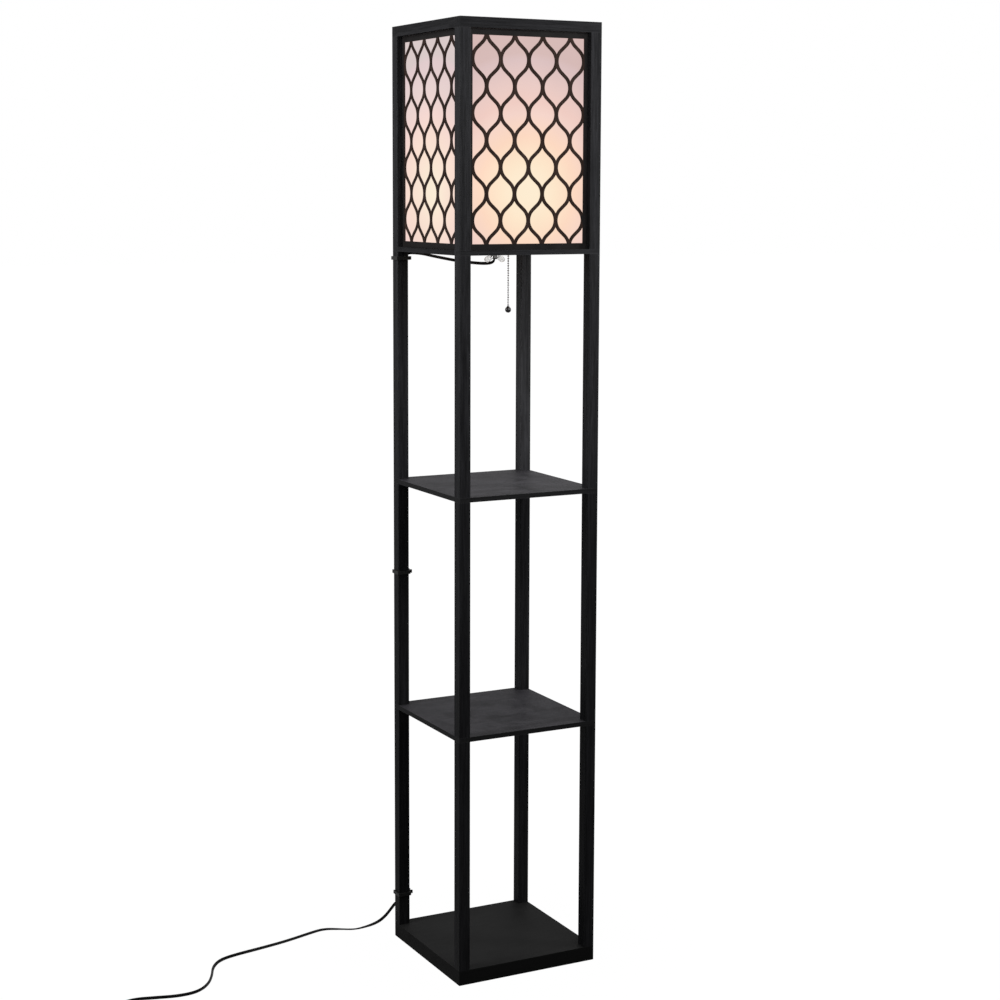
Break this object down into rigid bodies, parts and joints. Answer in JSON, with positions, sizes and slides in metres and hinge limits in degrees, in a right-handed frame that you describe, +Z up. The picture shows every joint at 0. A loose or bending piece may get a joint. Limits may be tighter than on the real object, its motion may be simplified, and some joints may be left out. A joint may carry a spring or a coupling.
{
  "type": "shelf floor lamp",
  "caption": "Square black tower lamp with open display shelves below a lit fretwork shade, switched by a bead pull chain and fed by a mains cord clipped down a rear post.",
  "frame": {"origin": "on the floor, in the middle of the base board's underside", "axes": "+Z up along the tower, -Y out of the front face, +X to the right of someone facing the front"},
  "size_m": [0.8659, 0.3386, 1.6],
  "materials": {
    "black_wood": "black wood-grain foil, satin",
    "lattice_black": "thin cut board, painted satin black",
    "shade_liner": "translucent white sheet, lit from behind",
    "zinc_steel": "zinc plated",
    "blackened_steel": "blackened",
    "beech": "plain dowel",
    "clear_nylon": "clear moulded nylon",
    "holder_black": "moulded phenolic",
    "brass": "stamped brass",
    "bulb_cap_metal": "rolled screw cap",
    "bulb_glass": "frosted, lit",
    "chrome": "polished plating",
    "clip_black": "moulded",
    "cord_black": "soft extruded jacket"
  },
  "bodies": {
    "tower": {"base_board": "black_wood", "base_screws": "zinc_steel", "bulb_cap": "bulb_cap_metal", "bulb_glass": "bulb_glass", "cable_clips": "clip_black", "centre_contact": "brass", "chain_guide": "brass", "coil_tie": "clip_black", "cord_floor": "cord_black", "cord_upper": "cord_black", "holder_body": "holder_black", "holder_cap": "holder_black", "lattice_back": "lattice_black", "lattice_front": "lattice_black", "lattice_left": "lattice_black", "lattice_right": "lattice_black", "liner_back": "shade_liner", "liner_front": "shade_liner", "liner_left": "shade_liner", "liner_right": "shade_liner", "lower_post_back_left": "black_wood", "lower_post_back_right": "black_wood", "lower_post_front_left": "black_wood", "lower_post_front_right": "black_wood", "lower_shelf": "black_wood", "middle_post_back_left": "black_wood", "middle_post_back_right": "black_wood", "middle_post_front_left": "black_wood", "middle_post_front_right": "black_wood", "plug_blades": "brass", "plug_body": "cord_black", "screw_shell": "brass", "shade_post_back_left": "black_wood", "shade_post_back_right": "black_wood", "shade_post_front_left": "black_wood", "shade_post_front_right": "black_wood", "shade_rail_back": "black_wood", "shade_rail_front": "black_wood", "shade_rail_left": "black_wood", "shade_rail_right": "black_wood", "socket_crossbar": "black_wood", "threaded_nipple": "blackened_steel", "tier_studs": "zinc_steel", "top_dowels": "beech", "top_rail_back": "black_wood", "top_rail_front": "black_wood", "top_rail_left": "black_wood", "top_rail_right": "black_wood", "upper_post_back_left": "black_wood", "upper_post_back_right": "black_wood", "upper_post_front_left": "black_wood", "upper_post_front_right": "black_wood", "upper_shelf": "black_wood", "wing_nut": "clear_nylon"},
    "chain_slider": {"chain_top": "chrome"},
    "switch_lever": {"pull_lever": "zinc_steel"},
    "chain_hanging": {"chain_upper": "chrome"},
    "chain_end": {"chain_lower": "chrome", "chain_ball": "chrome"}
  },
  "joints": [
    {"name": "chain_pull", "type": "slide", "parent": "tower", "child": "chain_slider", "axis": [0, 0, -1], "range_m": [0, 0.007], "stiffness_N_per_m": 400, "springref_m": -0.005},
    {"name": "lever_turn", "type": "hinge", "parent": "tower", "child": "switch_lever", "pos_m": [0.013, 0, 1.2515], "axis": [0, 1, 0], "range_deg": [0, 31]},
    {"name": "chain_sway", "type": "hinge", "parent": "chain_slider", "child": "chain_hanging", "pos_m": [0.026, 0, 1.22928], "axis": [1, 0, 0], "range_deg": [-25, 25]},
    {"name": "chain_end_sway", "type": "hinge", "parent": "chain_hanging", "child": "chain_end", "pos_m": [0.026, 0, 1.18008], "axis": [0, 1, 0], "range_deg": [-25, 25]}
  ],
  "couplings": [
    {"joint": "lever_turn", "follows": "chain_pull", "rad_per_m": 76.92}
  ]
}
